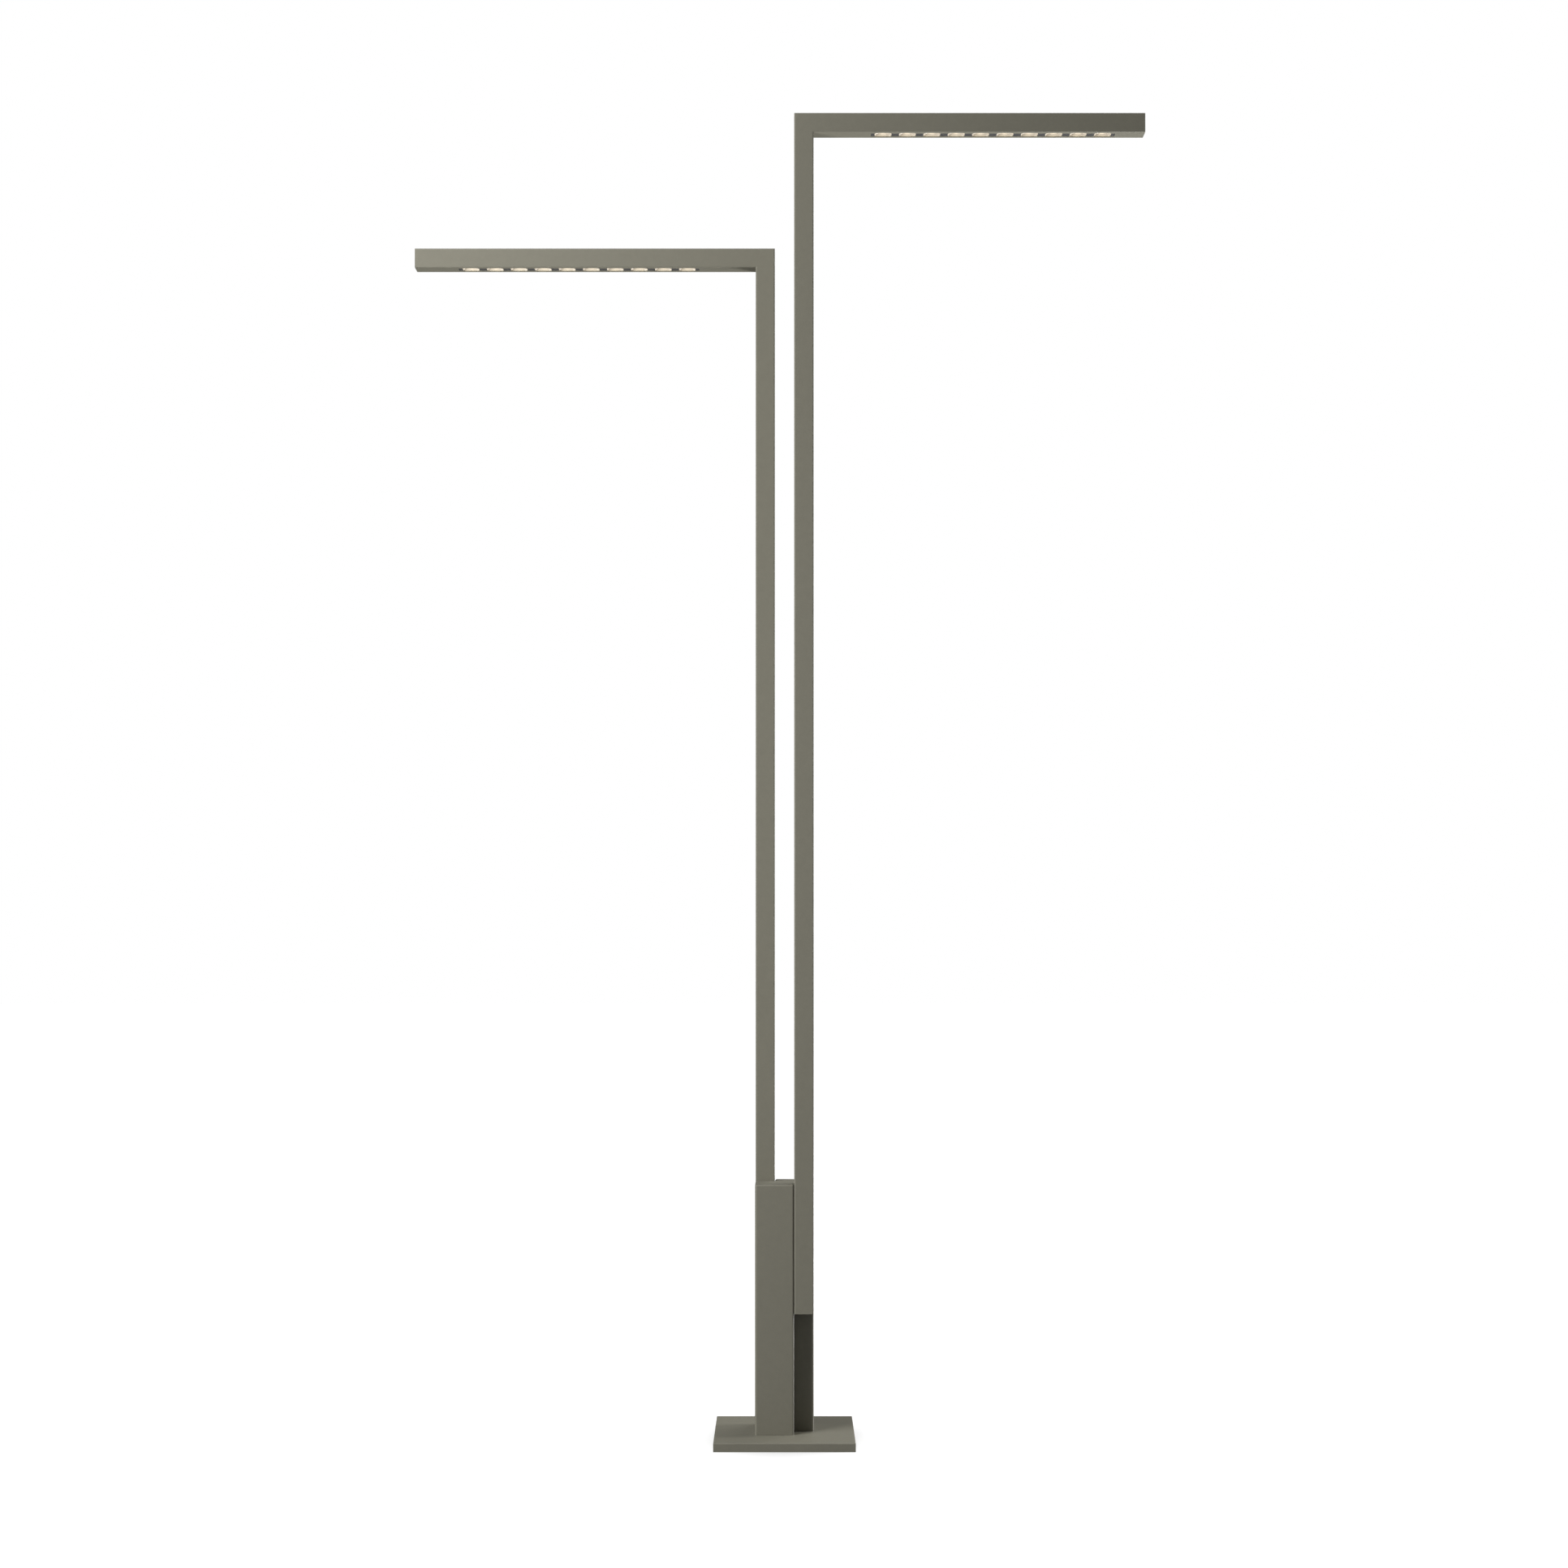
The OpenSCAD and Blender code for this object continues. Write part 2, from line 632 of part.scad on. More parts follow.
module mast(slot_turn) color(coat) difference() {
    round_post(mast_w, lamp_h, mast_r);
    translate([-bore_w / 2, -bore_w / 2, -eps]) cube([bore_w, bore_w, lamp_h + eps - mast_wall]);
    mitre_cut(1);
    rotate([0, 0, slot_turn]) translate([0, mast_w / 2, 0]) {
        translate([-adjust_slot_w / 2, -mast_wall - eps, adjust_low])
            cube([adjust_slot_w, mast_wall + 2 * eps, adjust_high - adjust_low]);
        for (z = [adjust_low, adjust_high]) translate([0, 0, z]) rotate([90, 0, 0])
            cylinder(r = adjust_slot_w / 2, h = 2 * mast_wall + 2 * eps, center = true);
    }
}

module cell_places() for (i = [0 : cell_count - 1]) translate([first_cell + i * cell_pitch, 0, 0]) children();

module arm(len) color(coat) difference() {
    translate([-mast_w / 2, 0, arm_z]) rotate([0, 90, 0]) round_post(mast_w, len, mast_r);
    translate([-mast_w / 2 + mast_wall, -bore_w / 2, arm_z - bore_w / 2]) cube([len, bore_w, bore_w]);
    mitre_cut(-1);
    translate([row_start, -slot_wid / 2, arm_z - mast_w / 2 - eps])
        cube([row_len, slot_wid, mast_wall + 2 * eps]);
    cell_places() translate([0, 0, arm_z - mast_w / 2 - eps])
        round_slab(cell_len, cell_wid, mast_wall + 2 * eps, cell_r);
}

module corner_bracket() color(steel) {
    // Bent strip inside the outer corner, welded to the mast and the arm
    leg = 160;
    t = 6;
    translate([-bore_w / 2 + 0.2, 0, lamp_h - mast_wall - 0.2]) rotate([90, 0, 0])
        linear_extrude(height = bore_w - 12, center = true)
            polygon([[0, 0], [leg, 0], [leg, -t], [t, -t], [t, -leg], [0, -leg]]);
}

module end_cap(len) color(coat) {
    translate([len - mast_w / 2, 0, arm_z]) rotate([0, 90, 0]) difference() {
        union() {
            round_post(mast_w, cap_t, mast_r);
            translate([-plug_w / 2, -plug_w / 2, -10]) cube([plug_w, plug_w, 10 + eps]);
        }
        translate([-plug_w / 2 + 3, -plug_w / 2 + 3, -10 - eps]) cube([plug_w - 6, plug_w - 6, 10 + eps]);
        for (s = [-1, 1]) translate([0, s * 25, cap_t]) screw(screw_r + 0.1, 30, 2 * screw_r + 0.1);
    }
}

module cap_screws(len) color(steel)
    translate([len - mast_w / 2 + cap_t, 0, arm_z]) rotate([0, 90, 0])
        for (s = [-1, 1]) translate([0, s * 25, 0]) screw(screw_r, cap_t + 6, 2 * screw_r);

module foot_cap() color(dark) difference() {
    // Plug in the mast's open foot, with a drain hole
    translate([-plug_w / 2, -plug_w / 2, 0]) cube([plug_w, plug_w, foot_cap_t]);
    translate([-plug_w / 2 + 3, -plug_w / 2 + 3, 3]) cube([plug_w - 6, plug_w - 6, foot_cap_t]);
    cylinder(r = 3, h = 20, center = true);
}

module optic_frame() translate([0, 0, arm_z]) children();

module reflectors() color([0.85, 0.83, 0.78]) optic_frame() difference() {
    // Moulded strip on the arm's lower wall with one bowl and one window for each cell
    translate([row_start, -strip_w / 2, wall_in]) cube([row_len, strip_w, strip_h]);
    cell_places() {
        translate([0, 0, wall_in - eps]) round_slab(cell_len, cell_wid, pocket_h + eps, cell_r);
        translate([0, 0, wall_in]) cylinder(r = window_r, h = strip_h + eps);
    }
    tray_screw_places() translate([0, 0, strip_top - 10]) cylinder(r = screw_r + 0.1, h = 10 + eps);
}

module tray_screw_places()
    for (i = [0, floor(cell_count / 2) - 1, cell_count - 2], s = [-1, 1])
        translate([first_cell + (i + 0.5) * cell_pitch, s * screw_y, 0]) children();

module baffle(len) translate([-len / 2, -slot_wid / 2 + 0.2, wall_in - baffle_t]) cube([len, slot_wid - 0.4, baffle_t]);

module baffles() color(dark) optic_frame() {
    // Dark fillers in the arm's slot between the cells and at both ends of the row
    gap_len = cell_pitch - cell_len - 0.4;
    end_len = row_margin - 0.4;
    for (i = [0 : cell_count - 2]) translate([first_cell + (i + 0.5) * cell_pitch, 0, 0]) baffle(gap_len);
    for (x = [row_start, row_start + row_len - row_margin]) translate([x + row_margin / 2, 0, 0]) baffle(end_len);
}

module lenses() color("white") optic_frame() cell_places() {
    // Dome under each window with a flat rim inside it
    rim_z = strip_top - led_t - lens_clear - lens_t;
    translate([0, 0, rim_z]) cylinder(r = window_r - 0.1, h = lens_t);
    intersection() {
        translate([0, 0, rim_z + dome_r - dome_h]) sphere(r = dome_r);
        translate([0, 0, rim_z - dome_h]) cylinder(r = window_r - 0.1, h = dome_h + eps);
    }
}

module leds() color("gold") optic_frame() cell_places()
    translate([0, 0, strip_top - led_t]) cylinder(r = led_r, h = led_t);

module led_board() color("seagreen") optic_frame() difference() {
    translate([row_start + 2, -strip_w / 2 + 1, strip_top]) cube([row_len - 4, strip_w - 2, board_t]);
    tray_screw_places() translate([0, 0, strip_top - eps]) cylinder(r = screw_r + 0.2, h = board_t + 2 * eps);
}

module led_tray() color("silver") optic_frame() difference() {
    // Finned heat sink over the board
    union() {
        translate([row_start, -strip_w / 2, tray_z]) cube([row_len, strip_w, tray_t]);
        for (i = [-1, 0, 1]) translate([row_start, i * fin_pitch - fin_t / 2, tray_z + tray_t - eps])
            cube([row_len, fin_t, fin_h + eps]);
    }
    tray_screw_places() translate([0, 0, tray_z - eps]) cylinder(r = screw_r + 0.2, h = tray_t + 2 * eps);
}

module tray_screws() color(steel) optic_frame() tray_screw_places() {
    translate([0, 0, tray_z + tray_t]) cylinder(r = 3.6, h = 2.4);
    translate([0, 0, strip_top - 8]) cylinder(r = screw_r, h = 8 + board_t + tray_t + eps);
}

// The lamp's cable: up the mast, round the corner inside the bracket and on to the heat sink's end.
cable_low_z = bush_z - upper_foot_z;
bend = 60;

module lamp_cable() color([0.12, 0.12, 0.12]) {
    d = lead_d;
    run_z = arm_z + tray_z + tray_t;
    top = run_z - bend;
    translate([0, 0, cable_low_z]) cylinder(d = d, h = top - cable_low_z);
    translate([bend, 0, top]) rotate([90, 0, 0]) rotate([0, 0, 90]) rotate_extrude(angle = 90)
        translate([bend, 0]) circle(d = d);
    translate([bend, 0, run_z]) rotate([0, 90, 0]) cylinder(d = d, h = row_start - bend);
}

module place_upper() translate([mast_off, -mast_off, upper_foot_z]) children();

module place_lower() translate([-mast_off, mast_off, lower_foot_z]) rotate([0, 0, 180]) children();

module upper_mast() place_upper() mast(0);
module upper_arm() place_upper() arm(upper_arm_len - cap_t);
module upper_corner_bracket() place_upper() corner_bracket();
module upper_end_cap() place_upper() end_cap(upper_arm_len - cap_t);
module upper_cap_screws() place_upper() cap_screws(upper_arm_len - cap_t);
module upper_foot_cap() place_upper() foot_cap();
module upper_led_tray() place_upper() led_tray();
module upper_tray_screws() place_upper() tray_screws();
module upper_led_board() place_upper() led_board();
module upper_leds() place_upper() leds();
module upper_reflectors() place_upper() reflectors();
module upper_lenses() place_upper() lenses();
module upper_baffles() place_upper() baffles();
module upper_lamp_cable() place_upper() lamp_cable();

module lower_mast() place_lower() mast(90);
module lower_arm() place_lower() arm(lower_arm_len - cap_t);
module lower_corner_bracket() place_lower() corner_bracket();
module lower_end_cap() place_lower() end_cap(lower_arm_len - cap_t);
module lower_cap_screws() place_lower() cap_screws(lower_arm_len - cap_t);
module lower_foot_cap() place_lower() foot_cap();
module lower_led_tray() place_lower() led_tray();
module lower_tray_screws() place_lower() tray_screws();
module lower_led_board() place_lower() led_board();
module lower_leds() place_lower() leds();
module lower_reflectors() place_lower() reflectors();
module lower_lenses() place_lower() lenses();
module lower_baffles() place_lower() baffles();
module lower_lamp_cable() place_lower() lamp_cable();

base_flange();
base_cover();
cover_screws();
cable_grommet();
earth_stud();
column_shell();
slide_pads();
clamp_bolts();
clamp_bars();
wall_bushes();
door_frame();
door_gasket();
fixed_hinge_leaves();
hinge_pins();
gear_plate();
plate_standoffs();
upper_driver();
lower_driver();
driver_screws();
surge_protector();
terminal_box();
terminal_box_lid();
terminal_block();
fuse_holders();
cable_glands();
driver_leads();
service_door();
door_hinge_leaves();
lock_housing();
lock_plug();
lock_cam();
upper_mast();
upper_arm();
upper_corner_bracket();
upper_end_cap();
upper_cap_screws();
upper_foot_cap();
upper_led_tray();
upper_tray_screws();
upper_led_board();
upper_leds();
upper_reflectors();
upper_lenses();
upper_baffles();
upper_lamp_cable();
lower_mast();
lower_arm();
lower_corner_bracket();
lower_end_cap();
lower_cap_screws();
lower_foot_cap();
lower_led_tray();
lower_tray_screws();
lower_led_board();
lower_leds();
lower_reflectors();
lower_lenses();
lower_baffles();
lower_lamp_cable();
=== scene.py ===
"""Twin-mast street light: looks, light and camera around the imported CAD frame. All sizes are in metres."""
import json
import math

import bmesh
import bpy
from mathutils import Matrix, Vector


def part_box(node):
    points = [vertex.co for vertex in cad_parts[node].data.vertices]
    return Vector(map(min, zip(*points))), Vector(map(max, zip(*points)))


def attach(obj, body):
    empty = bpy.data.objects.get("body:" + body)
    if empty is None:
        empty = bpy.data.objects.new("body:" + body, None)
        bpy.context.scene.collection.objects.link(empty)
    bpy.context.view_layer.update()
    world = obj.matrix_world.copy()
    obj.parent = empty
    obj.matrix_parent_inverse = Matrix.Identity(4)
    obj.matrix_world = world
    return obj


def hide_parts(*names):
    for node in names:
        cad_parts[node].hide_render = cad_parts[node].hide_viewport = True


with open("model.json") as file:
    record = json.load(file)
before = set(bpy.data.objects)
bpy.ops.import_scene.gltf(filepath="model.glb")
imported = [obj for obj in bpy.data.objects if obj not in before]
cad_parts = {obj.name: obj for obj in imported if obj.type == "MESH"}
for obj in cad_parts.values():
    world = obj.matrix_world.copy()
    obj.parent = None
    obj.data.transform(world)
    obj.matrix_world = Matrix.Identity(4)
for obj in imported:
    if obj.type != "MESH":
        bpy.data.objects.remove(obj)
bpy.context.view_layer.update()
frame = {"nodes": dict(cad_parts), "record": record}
NODES = frame["nodes"]
SLOT_OF = {part["node"]: part["material_slot"] for part in frame["record"]["subparts"]}
LAMPS = ("upper", "lower")
TAU = 2 * math.pi

# The powder coat's two shades, as linear RGB
COAT = (0.196, 0.188, 0.148)
COAT_DARK = (0.188, 0.180, 0.142)

# One light cell: its bowl at the rim, and its window at the top
CELL_COUNT = 10
CELL_LEN = 0.069
CELL_WID = 0.054
CELL_R = 0.012
WINDOW_R = 0.011
BOWL_H = 0.013
# Height of the lens's straight rim above its dome
LENS_RIM_H = 0.0025

# The door's hinges and the screws in their leaves
HINGE_H = 0.060
FIXED_LEAF_H = 0.018
LEAF_T = 0.002
SCREW_R = 0.0032
SCREW_H = 0.0016

# Width of the round on the sharp edges of each of these nodes
BEVELS = {
    "service_door": 0.0006,
    "door_frame": 0.0004,
    "fixed_hinge_leaves": 0.0003,
    "door_hinge_leaves": 0.0003,
    "lock_housing": 0.0004,
    "lock_cam": 0.0003,
    "upper_end_cap": 0.0005,
    "lower_end_cap": 0.0005,
    "upper_driver": 0.0008,
    "lower_driver": 0.0008,
    "surge_protector": 0.0008,
    "terminal_box": 0.0010,
    "terminal_box_lid": 0.0008,
    "clamp_bars": 0.0005,
}

# The floor's own light for the camera, close to the object and away from it, and the two distances; the
# lower light close to the object is a painted shadow round the base
PAINTED_SHADOW_LIFT = 0.58
FAR_LIFT = 1.0
PAINTED_SHADOW_CORE = 0.29
PAINTED_SHADOW_EDGE = 0.56
FLOOR_HALF = 60.0
# Strength of the white surroundings as a light
ROOM_LIGHT = 0.10


# ---- Node helpers ----

def material(name):
    """A new node material: returns it with its tree and its Principled shader."""
    mat = bpy.data.materials.new(name)
    mat.use_nodes = True
    tree = mat.node_tree
    shader = next(n for n in tree.nodes if n.type == "BSDF_PRINCIPLED")
    return mat, tree, shader


def add(tree, kind, **values):
    """A node of that kind, with properties and inputs set by name."""
    node = tree.nodes.new(kind)
    for key, value in values.items():
        socket = key.replace("_", " ").capitalize()
        if hasattr(node, key):
            setattr(node, key, value)
        elif socket in node.inputs:
            node.inputs[socket].default_value = value
        else:
            raise KeyError(f"{kind} has no {key}")
    return node


def coords(tree, stretch=(1.0, 1.0, 1.0)):
    """Object coordinates, stretched by a factor for each axis."""
    source = add(tree, "ShaderNodeTexCoord")
    mapping = add(tree, "ShaderNodeMapping")
    mapping.inputs["Scale"].default_value = stretch
    tree.links.new(source.outputs["Object"], mapping.inputs["Vector"])
    return mapping.outputs["Vector"]


def noise(tree, vector, scale, detail=2.0, roughness=0.5):
    """Noise value at a scale given in cycles per metre."""
    node = add(tree, "ShaderNodeTexNoise", scale=scale, detail=detail, roughness=roughness)
    tree.links.new(vector, node.inputs["Vector"])
    return node.outputs["Fac"]


def ramp(tree, value, stops):
    """Colour ramp through (position, rgb) stops."""
    node = add(tree, "ShaderNodeValToRGB")
    for i, (place, rgb) in enumerate(stops):
        element = node.color_ramp.elements[i] if i < 2 else node.color_ramp.elements.new(place)
        element.position = place
        element.color = (*rgb, 1.0)
    tree.links.new(value, node.inputs["Fac"])
    return node.outputs["Color"]


def spread(tree, value, low, high, start=0.0, end=1.0):
    """Maps a value from start..end to low..high."""
    node = add(tree, "ShaderNodeMapRange")
    for name, number in (("From Min", start), ("From Max", end), ("To Min", low), ("To Max", high)):
        node.inputs[name].default_value = number
    tree.links.new(value, node.inputs["Value"])
    return node.outputs["Result"]


def blend(tree, factor, a, b):
    """Mixes two colours by a factor; each may be a socket or an rgb tuple."""
    node = add(tree, "ShaderNodeMix", data_type="RGBA")
    for name, value in ((6, a), (7, b)):
        if isinstance(value, tuple):
            node.inputs[name].default_value = (*value, 1.0)
        else:
            tree.links.new(value, node.inputs[name])
    tree.links.new(factor, node.inputs[0])
    return node.outputs[2]


def bump(tree, shader, height, strength, distance, under=None):
    """Bumps the shader's surface by a height, over an earlier bump if there is one."""
    node = add(tree, "ShaderNodeBump", strength=strength, distance=distance)
    tree.links.new(height, node.inputs["Height"])
    if under is not None:
        tree.links.new(under, node.inputs["Normal"])
    tree.links.new(node.outputs["Normal"], shader.inputs["Normal"])
    return node.outputs["Normal"]


# ---- Materials, one function for each kind of surface ----

def powder_coat(name):
    """Satin grey-olive powder coat: fine grain, faint mottling and slightly cleaner high spots."""
    mat, tree, shader = material(name)
    place = coords(tree)
    mottle = noise(tree, place, 34.0, 4.0, 0.6)
    grain = noise(tree, place, 900.0, 2.0, 0.6)
    speck = noise(tree, place, 420.0, 1.0, 0.4)
    base = ramp(tree, mottle, [(0.35, COAT_DARK), (0.65, COAT)])
    light = tuple(1.10 * c for c in COAT)
    tinted = blend(tree, spread(tree, speck, 0.0, 0.55, 0.56, 0.74), base, light)
    tree.links.new(tinted, shader.inputs["Base Color"])
    tree.links.new(spread(tree, grain, 0.42, 0.56, 0.3, 0.7), shader.inputs["Roughness"])
    shader.inputs["Specular IOR Level"].default_value = 0.42
    first = bump(tree, shader, grain, 0.16, 0.0003)
    bump(tree, shader, mottle, 0.05, 0.0008, first)
    return mat


def brushed_metal(name, rgb, rough, stretch, scratch=260.0):
    """Bare metal with fine drawn or turned lines along one axis."""
    mat, tree, shader = material(name)
    place = coords(tree, stretch)
    lines = noise(tree, place, scratch, 3.0, 0.65)
    cloud = noise(tree, coords(tree), 25.0, 3.0, 0.5)
    dull = tuple(0.88 * c for c in rgb)
    tree.links.new(ramp(tree, cloud, [(0.3, dull), (0.7, rgb)]), shader.inputs["Base Color"])
    tree.links.new(spread(tree, lines, rough - 0.03, rough + 0.04, 0.3, 0.7), shader.inputs["Roughness"])
    shader.inputs["Metallic"].default_value = 1.0
    bump(tree, shader, lines, 0.05, 0.0001)
    return mat


def galvanised(name):
    """Zinc coat with its crystal spangle."""
    mat, tree, shader = material(name)
    cells = add(tree, "ShaderNodeTexVoronoi", scale=110.0)
    tree.links.new(coords(tree), cells.inputs["Vector"])
    cloud = noise(tree, coords(tree), 18.0, 3.0, 0.5)
    split = add(tree, "ShaderNodeSeparateColor")
    tree.links.new(cells.outputs["Color"], split.inputs["Color"])
    spangle = split.outputs["Red"]
    tree.links.new(ramp(tree, spangle, [(0.0, (0.30, 0.31, 0.33)), (1.0, (0.55, 0.57, 0.60))]),
                   shader.inputs["Base Color"])
    tree.links.new(spread(tree, spangle, 0.38, 0.60), shader.inputs["Roughness"])
    shader.inputs["Metallic"].default_value = 0.9
    bump(tree, shader, cloud, 0.08, 0.001)
    return mat


def moulded(name, rgb, rough, grain=700.0):
    """Moulded plastic or rubber with a spark-eroded grain."""
    mat, tree, shader = material(name)
    place = coords(tree)
    fine = noise(tree, place, grain, 2.0, 0.6)
    wide = noise(tree, place, 40.0, 3.0, 0.5)
    shade = tuple(0.82 * c for c in rgb)
    tree.links.new(ramp(tree, wide, [(0.3, shade), (0.7, rgb)]), shader.inputs["Base Color"])
    tree.links.new(spread(tree, fine, rough - 0.07, rough + 0.07, 0.3, 0.7), shader.inputs["Roughness"])
    bump(tree, shader, fine, 0.2, 0.00015)
    return mat


def sheath(name):
    """Rubber cable sheath with faint extrusion lines and dust."""
    mat, tree, shader = material(name)
    lines = noise(tree, coords(tree, (1.0, 1.0, 0.05)), 900.0, 1.0, 0.5)
    dust = noise(tree, coords(tree), 60.0, 4.0, 0.6)
    tree.links.new(ramp(tree, dust, [(0.4, (0.012, 0.012, 0.012)), (0.8, (0.035, 0.034, 0.032))]),
                   shader.inputs["Base Color"])
    tree.links.new(spread(tree, dust, 0.45, 0.65), shader.inputs["Roughness"])
    bump(tree, shader, lines, 0.2, 0.0002)
    return mat


def circuit_board(name):
    """White solder mask with thin copper lines showing through."""
    mat, tree, shader = material(name)
    brick = add(tree, "ShaderNodeTexBrick", scale=90.0)
    brick.inputs["Color1"].default_value = (0.72, 0.73, 0.70, 1.0)
    brick.inputs["Color2"].default_value = (0.66, 0.67, 0.64, 1.0)
    brick.inputs["Mortar"].default_value = (0.52, 0.50, 0.42, 1.0)
    tree.links.new(coords(tree), brick.inputs["Vector"])
    tree.links.new(brick.outputs["Color"], shader.inputs["Base Color"])
    rough = noise(tree, coords(tree), 300.0)
    tree.links.new(spread(tree, rough, 0.35, 0.5), shader.inputs["Roughness"])
    bump(tree, shader, brick.outputs["Fac"], 0.1, 0.0002)
    return mat


def glow_factor(tree, cells, half_len, half_wid):
    """1 in the middle of each light cell and 0 at its rim, from the cells' places along the arm; the mask of
    the reflectors' painted glow.
    """
    first, pitch, middle_y = cells
    split = add(tree, "ShaderNodeSeparateXYZ")
    tree.links.new(coords(tree), split.inputs["Vector"])

    def maths(kind, a, b=0.0):
        node = add(tree, "ShaderNodeMath", operation=kind)
        for socket, value in zip(node.inputs, (a, b)):
            if isinstance(value, (int, float)):
                socket.default_value = value
            else:
                tree.links.new(value, socket)
        return node.outputs["Value"]

    along = maths("ADD", maths("DIVIDE", maths("SUBTRACT", split.outputs["X"], first), pitch), 100.5)
    along = maths("MULTIPLY", maths("SUBTRACT", maths("FRACT", along), 0.5), abs(pitch) / half_len)
    across = maths("DIVIDE", maths("SUBTRACT", split.outputs["Y"], middle_y), half_wid)
    square = maths("ADD", maths("MULTIPLY", along, along), maths("MULTIPLY", across, across))
    return maths("SUBTRACT", 1.0, maths("SQRT", square))


def reflector_plastic(name, cells):
    """Warm white moulded reflector with a painted glow: emission brightest in the middle of each bowl,
    standing in for the LED's light on it.
    """
    mat, tree, shader = material(name)
    fine = noise(tree, coords(tree), 800.0, 2.0, 0.5)
    glow = glow_factor(tree, cells, CELL_LEN / 2, CELL_WID / 2)
    tree.links.new(ramp(tree, fine, [(0.3, (0.50, 0.46, 0.39)), (0.7, (0.54, 0.50, 0.43))]),
                   shader.inputs["Base Color"])
    tree.links.new(spread(tree, fine, 0.28, 0.36), shader.inputs["Roughness"])
    # Painted glow: emission colour and strength rise towards each bowl's middle, though the reflector is no
    # lamp
    painted_glow_colours = [
        (0.0, (0.30, 0.255, 0.20)),
        (0.16, (0.45, 0.39, 0.30)),
        (0.34, (1.0, 0.88, 0.68)),
        (1.0, (1.0, 0.93, 0.78)),
    ]
    tree.links.new(ramp(tree, glow, painted_glow_colours), shader.inputs["Emission Color"])
    tree.links.new(spread(tree, glow, 0.45, 1.5, 0.0, 0.6), shader.inputs["Emission Strength"])
    bump(tree, shader, fine, 0.05, 0.0001)
    return mat


def lens_glow(name, strength):
    """Frosted lens or phosphor that shines warm white."""
    mat, tree, shader = material(name)
    fine = noise(tree, coords(tree), 500.0, 2.0, 0.5)
    tree.links.new(ramp(tree, fine, [(0.3, (0.85, 0.74, 0.52)), (0.7, (0.92, 0.84, 0.66))]),
                   shader.inputs["Base Color"])
    tree.links.new(spread(tree, fine, 0.2, 0.3), shader.inputs["Roughness"])
    tree.links.new(ramp(tree, fine, [(0.3, (1.0, 0.86, 0.62)), (0.7, (1.0, 0.92, 0.74))]),
                   shader.inputs["Emission Color"])
    shader.inputs["Emission Strength"].default_value = strength
    return mat


# ---- Mesh helpers ----

def piece(name, mesh, mat, body, replaces=(), smooth=35.0):
    """Links a finished bmesh as an object, gives it its material and lets it ride on its body."""
    bmesh.ops.recalc_face_normals(mesh, faces=mesh.faces)
    data = bpy.data.meshes.new(name)
    mesh.to_mesh(data)
    mesh.free()
    obj = bpy.data.objects.new(name, data)
    bpy.context.scene.collection.objects.link(obj)
    data.materials.append(mat)
    soften(obj, smooth)
    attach(obj, body)
    if replaces:
        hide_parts(*replaces)
    return obj


def soften(obj, degrees):
    """Smooth shading, kept sharp at edges over an angle."""
    mesh = bmesh.new()
    mesh.from_mesh(obj.data)
    limit = math.radians(degrees)
    for face in mesh.faces:
        face.smooth = True
    for edge in mesh.edges:
        edge.smooth = len(edge.link_faces) == 2 and edge.calc_face_angle(0.0) < limit
    mesh.to_mesh(obj.data)
    mesh.free()


def ring(mesh, points):
    """A closed ring of vertices."""
    return [mesh.verts.new(p) for p in points]


def bridge(mesh, a, b):
    """Quads between two rings of the same count."""
    for i, start in enumerate(a):
        j = (i + 1) % len(a)
        mesh.faces.new((start, a[j], b[j], b[i]))


def loft(mesh, rings):
    """A closed solid through rings, capped at both ends."""
    made = [ring(mesh, points) for points in rings]
    for a, b in zip(made, made[1:]):
        bridge(mesh, a, b)
    mesh.faces.new(made[0])
    mesh.faces.new(reversed(made[-1]))


def rounded_outline(half_x, half_y, radius, steps=8):
    """Points round a rectangle with arcs at its corners."""
    points = []
    for quarter, (sx, sy) in enumerate(((1, 1), (-1, 1), (-1, -1), (1, -1))):
        for i in range(steps + 1):
            angle = math.radians(90 * (quarter + i / steps))
            points.append((sx * (half_x - radius) + radius * math.cos(angle),
                           sy * (half_y - radius) + radius * math.sin(angle)))
    return points


# ---- The light row ----

def row_cells(side):
    """Places of a lamp's light cells along its arm, from its lenses: (first x, pitch, middle y)."""
    low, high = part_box(f"{side}_lenses")
    lens_r = (high.y - low.y) / 2
    first = low.x + lens_r
    last = high.x - lens_r
    return first, (last - first) / (CELL_COUNT - 1), (low.y + high.y) / 2


def bowl_rings(x, y, rim_z):
    """Rings of one reflector bowl from its rim to its window, as one smooth flare."""
    rings = []
    steps = 9
    for i in range(steps + 1):
        t = i / steps
        shrink = (1 - math.cos(t * math.pi / 2)) ** 0.9
        half_x = CELL_LEN / 2 * (1 - shrink) + WINDOW_R * shrink
        half_y = CELL_WID / 2 * (1 - shrink) + WINDOW_R * shrink
        corner = min(CELL_R * (1 - t) + WINDOW_R * t, half_x, half_y) - 1e-5
        z = rim_z + BOWL_H * math.sin(t * math.pi / 2)
        rings.append([(x + px, y + py, z) for px, py in rounded_outline(half_x, half_y, corner)])
    return rings


def reflector_strip(side, mat):
    """The moulded strip with its bowls, cut from one block."""
    low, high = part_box(f"{side}_reflectors")
    first, pitch, mid_y = row_cells(side)
    block = bmesh.new()
    outline = [(low.x, low.y), (high.x, low.y), (high.x, high.y), (low.x, high.y)]
    loft(block, [[(x, y, z) for x, y in outline] for z in (low.z, high.z)])
    strip = piece(f"{side}_reflector_strip", block, mat, f"{side}_lamp",
                  (f"{side}_reflectors",))
    bowls = bmesh.new()
    for i in range(CELL_COUNT):
        x = first + i * pitch
        rings = bowl_rings(x, mid_y, low.z)
        below = [(px, py, low.z - 0.01) for px, py, _ in rings[0]]
        above = [(px, py, high.z + 0.01) for px, py, _ in rings[-1]]
        loft(bowls, [below, *rings, above])
    bmesh.ops.recalc_face_normals(bowls, faces=bowls.faces)
    cut(strip, bowls)
    soften(strip, 30.0)


